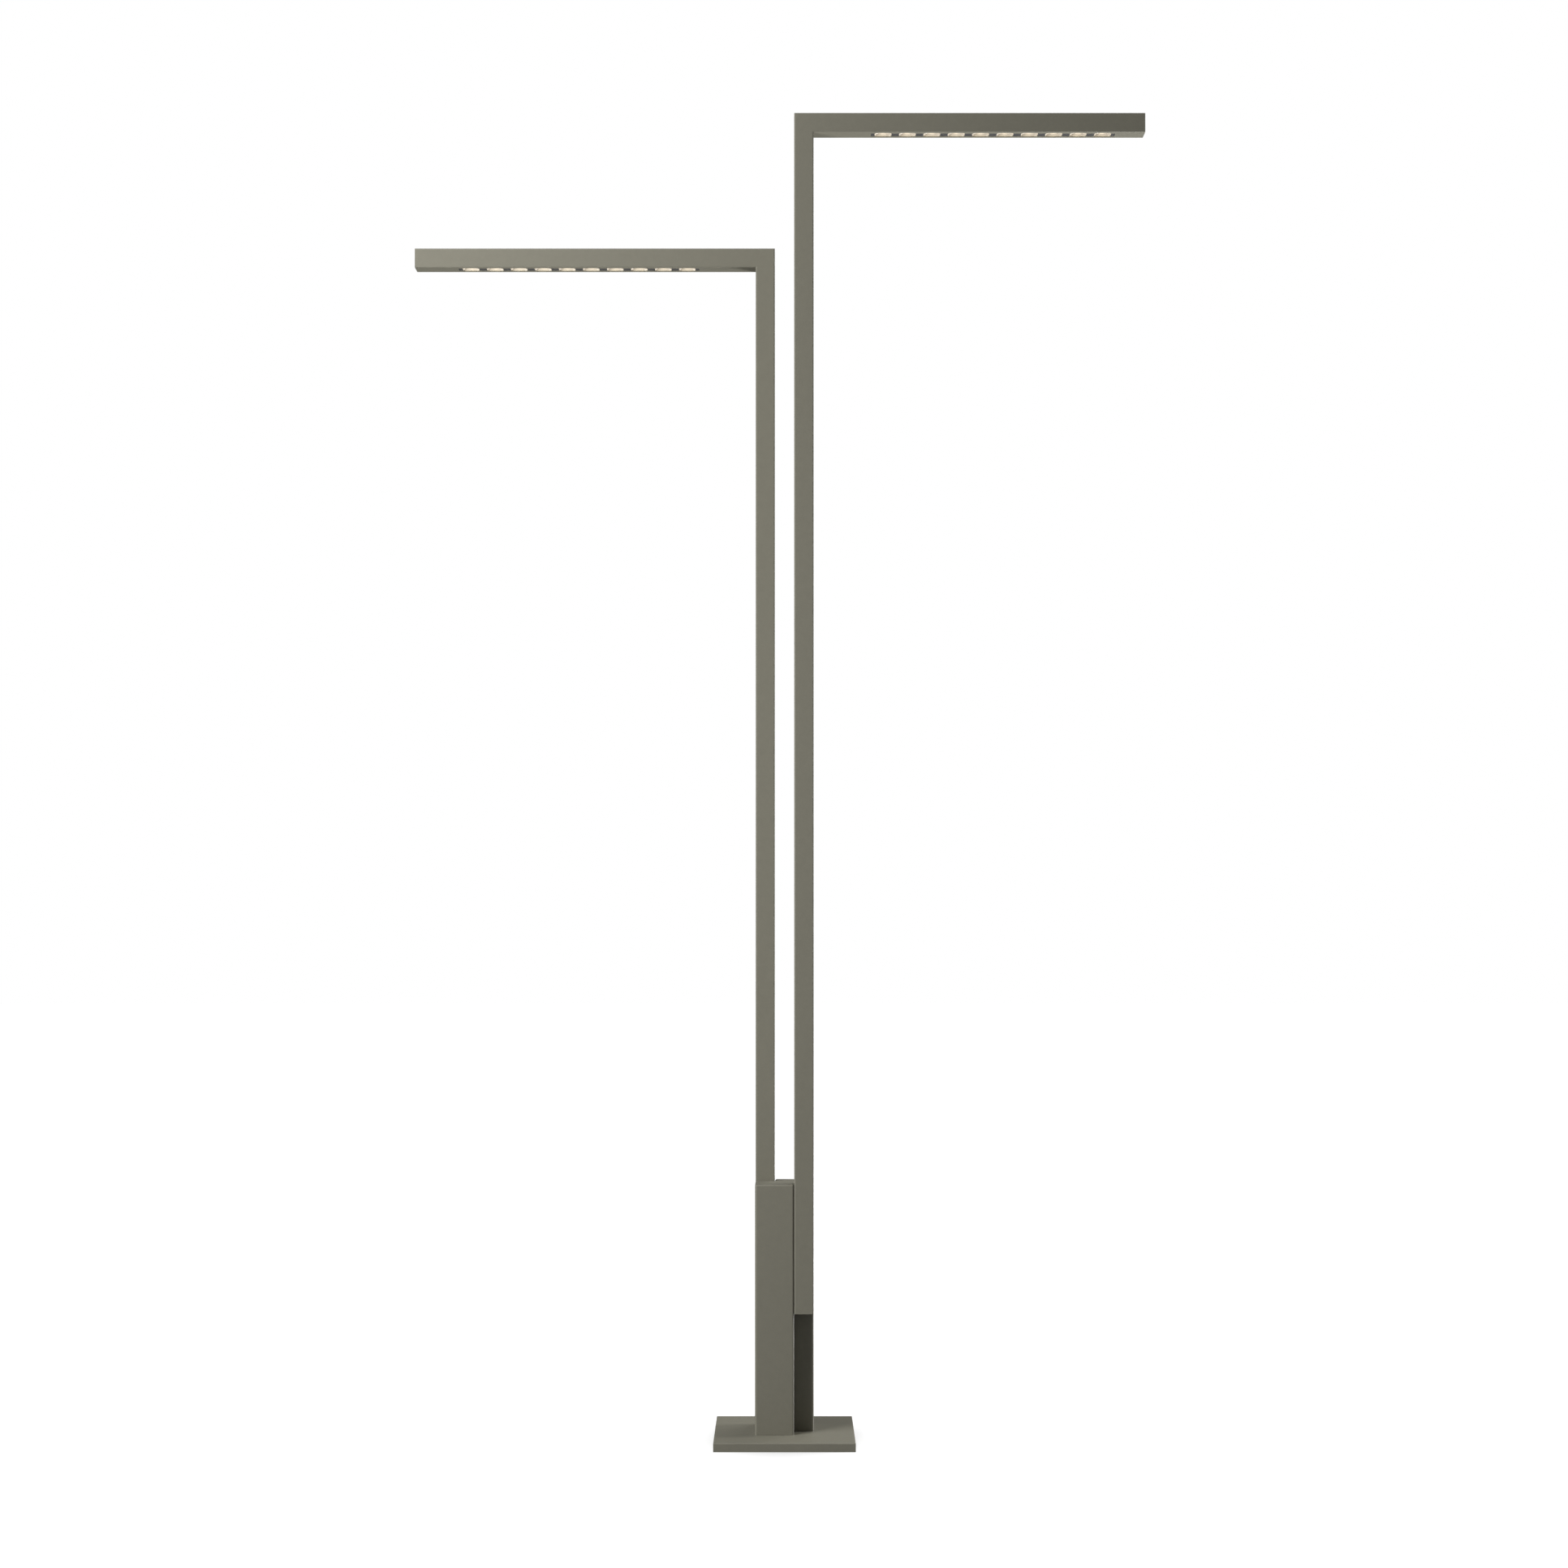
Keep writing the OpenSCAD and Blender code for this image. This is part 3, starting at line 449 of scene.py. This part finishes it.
def cut(obj, tool):
    """Takes the tool's volume out of the object and applies it."""
    data = bpy.data.meshes.new("tool")
    tool.to_mesh(data)
    tool.free()
    cutter = bpy.data.objects.new("tool", data)
    bpy.context.scene.collection.objects.link(cutter)
    modifier = obj.modifiers.new("cut", "BOOLEAN")
    modifier.object = cutter
    modifier.solver = "EXACT"
    modifier.operation = "DIFFERENCE"
    graph = bpy.context.evaluated_depsgraph_get()
    result = bpy.data.meshes.new_from_object(obj.evaluated_get(graph))
    obj.modifiers.clear()
    old = obj.data
    obj.data = result
    bpy.data.meshes.remove(old)
    bpy.data.objects.remove(cutter)
    bpy.data.meshes.remove(data)


def lens_dome(side, mat):
    """Frosted domes that hang under the windows, turned from one profile."""
    low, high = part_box(f"{side}_lenses")
    first, pitch, mid_y = row_cells(side)
    rim = (high.y - low.y) / 2
    rim_z = high.z - LENS_RIM_H
    dome_h = rim_z - low.z
    steps = 9
    sides = 32
    mesh = bmesh.new()
    for i in range(CELL_COUNT):
        x = first + i * pitch
        rings = []
        for k in range(steps):
            t = k / steps * math.pi / 2
            r = rim * math.cos(t)
            z = rim_z - dome_h * math.sin(t)
            rings.append([(x + r * math.cos(a), mid_y + r * math.sin(a), z)
                          for a in (TAU * n / sides for n in range(sides))])
        top = [(px, py, high.z) for px, py, _ in rings[0]]
        loft(mesh, [top, *rings])
    piece(f"{side}_lens_domes", mesh, mat, f"{side}_lamp", (f"{side}_lenses",))


def ribbed_fillers(side, mat):
    """Dark fillers between the cells, with fine ribs along the arm."""
    low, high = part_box(f"{side}_baffles")
    first, pitch, _ = row_cells(side)
    ribs = 6
    groove = 0.0008
    depth = 0.0008
    inset = 0.0006
    step = (high.y - low.y) / ribs
    profile = []
    for i in range(ribs):
        y = low.y + i * step
        profile += [(y + groove / 2, low.z + inset), (y + step - groove / 2, low.z + inset),
                    (y + step, low.z + inset + depth)]
    profile = [(low.y, low.z + inset + depth), *profile, (high.y, high.z), (low.y, high.z)]
    gap = 0.0002
    ends = [low.x]
    for i in range(CELL_COUNT):
        centre = first + i * pitch
        ends += [centre - CELL_LEN / 2 - gap, centre + CELL_LEN / 2 + gap]
    ends.append(high.x)
    mesh = bmesh.new()
    for a, b in zip(ends[::2], ends[1::2]):
        loft(mesh, [[(x, y, z) for y, z in profile] for x in (a, b)])
    piece(f"{side}_ribbed_fillers", mesh, mat, f"{side}_lamp",
          (f"{side}_baffles",), smooth=20.0)


# ---- Small fittings ----

def screw_head(mesh, place, out, r, h):
    """A low domed head with a hexagon recess; out is the way it faces."""
    turn = Vector(out).to_track_quat("Z", "Y")
    count = 24
    sixth = math.pi / 3
    rings = []
    for share, rise in ((1.0, 0.0), (1.0, 0.35), (0.93, 0.68), (0.78, 0.90), (0.60, 1.0)):
        rings.append([(r * share * math.cos(a), r * share * math.sin(a), h * rise)
                      for a in (TAU * n / count for n in range(count))])
    for rise in (1.0, 0.35):
        hexagon = []
        for n in range(count):
            a = TAU * n / count
            reach = 0.45 * r * math.cos(sixth / 2) / math.cos(a % sixth - sixth / 2)
            hexagon.append((reach * math.cos(a), reach * math.sin(a), h * rise))
        rings.append(hexagon)
    loft(mesh, [[Vector(place) + turn @ Vector(p) for p in points] for points in rings])


def hinge_screws(mat):
    """Screws through the door's hinge leaves, on the column and on the door."""
    pins_low, pins_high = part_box("hinge_pins")
    axis_x = (pins_low.x + pins_high.x) / 2
    low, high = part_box("fixed_hinge_leaves")
    face_y = low.y + LEAF_T
    fixed = bmesh.new()
    for start in (low.z, high.z - HINGE_H):
        for z in (start + FIXED_LEAF_H / 2, start + HINGE_H - FIXED_LEAF_H / 2):
            screw_head(fixed, ((low.x + axis_x) / 2 - LEAF_T, face_y, z), (0, 1, 0), SCREW_R, SCREW_H)
    piece("column_hinge_screws", fixed, mat, "base")
    low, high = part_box("door_hinge_leaves")
    leaf_h = HINGE_H - 2 * FIXED_LEAF_H
    moving = bmesh.new()
    for start in (low.z, high.z - leaf_h):
        for share in (0.25, 0.75):
            place = ((high.x + axis_x) / 2 + LEAF_T, low.y + LEAF_T, start + share * leaf_h)
            screw_head(moving, place, (0, 1, 0), SCREW_R, SCREW_H)
    piece("door_hinge_screws", moving, mat, "door")


# ---- The object ----

def break_edge(node, width):
    """A fine round on a node's sharp edges, so that they catch the light."""
    weld = node.modifiers.new("weld", "WELD")
    weld.merge_threshold = 1e-5
    bevel = node.modifiers.new("bevel", "BEVEL")
    bevel.width = width
    bevel.segments = 2
    bevel.limit_method = "ANGLE"
    bevel.angle_limit = math.radians(50.0)
    bevel.harden_normals = True


def dress_nodes(materials):
    """Gives each CAD node its slot's material and fine edge shading."""
    for name, node in NODES.items():
        node.data.materials.clear()
        node.data.materials.append(materials[SLOT_OF[name]])
    for name, width in BEVELS.items():
        break_edge(NODES[name], width)


def slot_materials():
    """One material for each material slot of the record."""
    steel = brushed_metal("stainless_steel", (0.50, 0.49, 0.47), 0.40, (1.0, 1.0, 0.1), 900.0)
    return {
        "coated_steel": powder_coat("coated_steel"),
        "coated_aluminium": powder_coat("coated_aluminium"),
        "bare_aluminium": brushed_metal("bare_aluminium", (0.60, 0.61, 0.62), 0.40, (0.03, 1.0, 1.0)),
        "galvanised_steel": galvanised("galvanised_steel"),
        "stainless_steel": steel,
        "brass": brushed_metal("brass", (0.60, 0.42, 0.16), 0.32, (1.0, 1.0, 0.2), 700.0),
        "black_rubber": moulded("black_rubber", (0.022, 0.022, 0.022), 0.68, 900.0),
        "slide_plastic": moulded("slide_plastic", (0.03, 0.03, 0.03), 0.45),
        "black_plastic": moulded("black_plastic", (0.028, 0.028, 0.030), 0.48),
        "baffle_plastic": moulded("baffle_plastic", (0.075, 0.074, 0.073), 0.55, 600.0),
        "light_plastic": moulded("light_plastic", (0.45, 0.46, 0.46), 0.45),
        "driver_housing": moulded("driver_housing", (0.62, 0.62, 0.60), 0.42),
        "circuit_board": circuit_board("circuit_board"),
        "led_phosphor": lens_glow("led_phosphor", 4.0),
        "reflector_plastic": moulded("reflector_plastic", (0.52, 0.48, 0.41), 0.32),
        "clear_lens": lens_glow("clear_lens", 3.0),
        "cable_sheath": sheath("cable_sheath"),
    }


def build():
    """Dresses the CAD nodes, then makes the light rows' detailed pieces and the hinge screws."""
    materials = slot_materials()
    dress_nodes(materials)
    for side in LAMPS:
        reflector_strip(side, reflector_plastic(f"{side}_reflector_plastic", row_cells(side)))
        lens_dome(side, materials["clear_lens"])
        ribbed_fillers(side, materials["baffle_plastic"])
    hinge_screws(materials["stainless_steel"])


# ---- Stage ----

def floor():
    """A plain pale floor, lifted to white away from the object, with a painted shadow close to it, as in a
    studio cut-out.
    """
    mesh = bmesh.new()
    corners = ((-1, -1), (1, -1), (1, 1), (-1, 1))
    mesh.faces.new(ring(mesh, [(FLOOR_HALF * x, FLOOR_HALF * y, 0.0) for x, y in corners]))
    data = bpy.data.meshes.new("floor")
    mesh.to_mesh(data)
    mesh.free()
    obj = bpy.data.objects.new("floor", data)
    bpy.context.scene.collection.objects.link(obj)
    mat, tree, shader = material("floor")
    place = coords(tree)
    soft = noise(tree, place, 0.6, 2.0, 0.5)
    tree.links.new(ramp(tree, soft, [(0.3, (0.24, 0.24, 0.24)), (0.7, (0.26, 0.26, 0.26))]),
                   shader.inputs["Base Color"])
    shader.inputs["Roughness"].default_value = 0.9
    shader.inputs["Specular IOR Level"].default_value = 0.05
    shader.inputs["Emission Color"].default_value = (1.0, 1.0, 1.0, 1.0)
    # Painted shadow: the floor's own light for the camera is lower close to the object, darkening the floor
    # round the base
    away = add(tree, "ShaderNodeVectorMath", operation="LENGTH")
    tree.links.new(coords(tree, (1.3, 1.0, 1.0)), away.inputs[0])
    painted_shadow_lift = spread(tree, away.outputs["Value"], PAINTED_SHADOW_LIFT, FAR_LIFT, PAINTED_SHADOW_CORE, PAINTED_SHADOW_EDGE)
    seen = add(tree, "ShaderNodeLightPath").outputs["Is Camera Ray"]
    share = add(tree, "ShaderNodeMath", operation="MULTIPLY")
    tree.links.new(painted_shadow_lift, share.inputs[0])
    tree.links.new(seen, share.inputs[1])
    tree.links.new(share.outputs["Value"], shader.inputs["Emission Strength"])
    data.materials.append(mat)


def softbox(name, place, target, size, power):
    """A rectangular area light at a place, aimed at a target."""
    data = bpy.data.lights.new(name, "AREA")
    data.shape = "RECTANGLE"
    data.size, data.size_y = size
    data.energy = power
    obj = bpy.data.objects.new(name, data)
    bpy.context.scene.collection.objects.link(obj)
    obj.location = place
    aim = Vector(target) - Vector(place)
    obj.rotation_euler = aim.to_track_quat("-Z", "Y").to_euler()


def lights():
    """White backdrop that lights the object only faintly, and soft boxes round it."""
    world = bpy.data.worlds.new("studio")
    bpy.context.scene.world = world
    world.use_nodes = True
    tree = world.node_tree
    back = next(n for n in tree.nodes if n.type == "BACKGROUND")
    back.inputs["Color"].default_value = (1.0, 1.0, 1.0, 1.0)
    seen = add(tree, "ShaderNodeLightPath").outputs["Is Camera Ray"]
    tree.links.new(spread(tree, seen, ROOM_LIGHT, 1.0), back.inputs["Strength"])
    centre = (0.0, 0.0, 2.8)
    softbox("key_light", (-4.5, -3.5, 2.8), centre, (2.5, 2.5), 355.0)
    softbox("high_key_light", (-2.5, -2.0, 8.0), (0.0, 0.0, 1.0), (2.5, 2.5), 165.0)
    softbox("side_light", (5.6, 0.9, 3.0), (0.0, 0.0, 2.0), (1.6, 3.0), 240.0)
    softbox("high_back_light", (2.0, 3.0, 7.0), (0.0, 0.0, 1.0), (3.0, 3.0), 120.0)
    softbox("low_back_light", (3.0, 2.4, 0.3), (0.9, 0.0, 5.4), (1.2, 1.2), 230.0)


def camera():
    """The photograph's viewing angle: nearly level, from straight in front."""
    data = bpy.data.cameras.new("camera")
    data.sensor_width = 36.0
    data.lens = 57.91
    data.shift_y = 0.075
    obj = bpy.data.objects.new("camera", data)
    bpy.context.scene.collection.objects.link(obj)
    obj.location = (-0.0019, -10.4647, 2.1073)
    obj.rotation_euler = (math.radians(90.618), 0.0, 0.0)
    bpy.context.scene.camera = obj


camera()
build()
floor()
lights()
bpy.context.scene.view_settings.view_transform = "Standard"
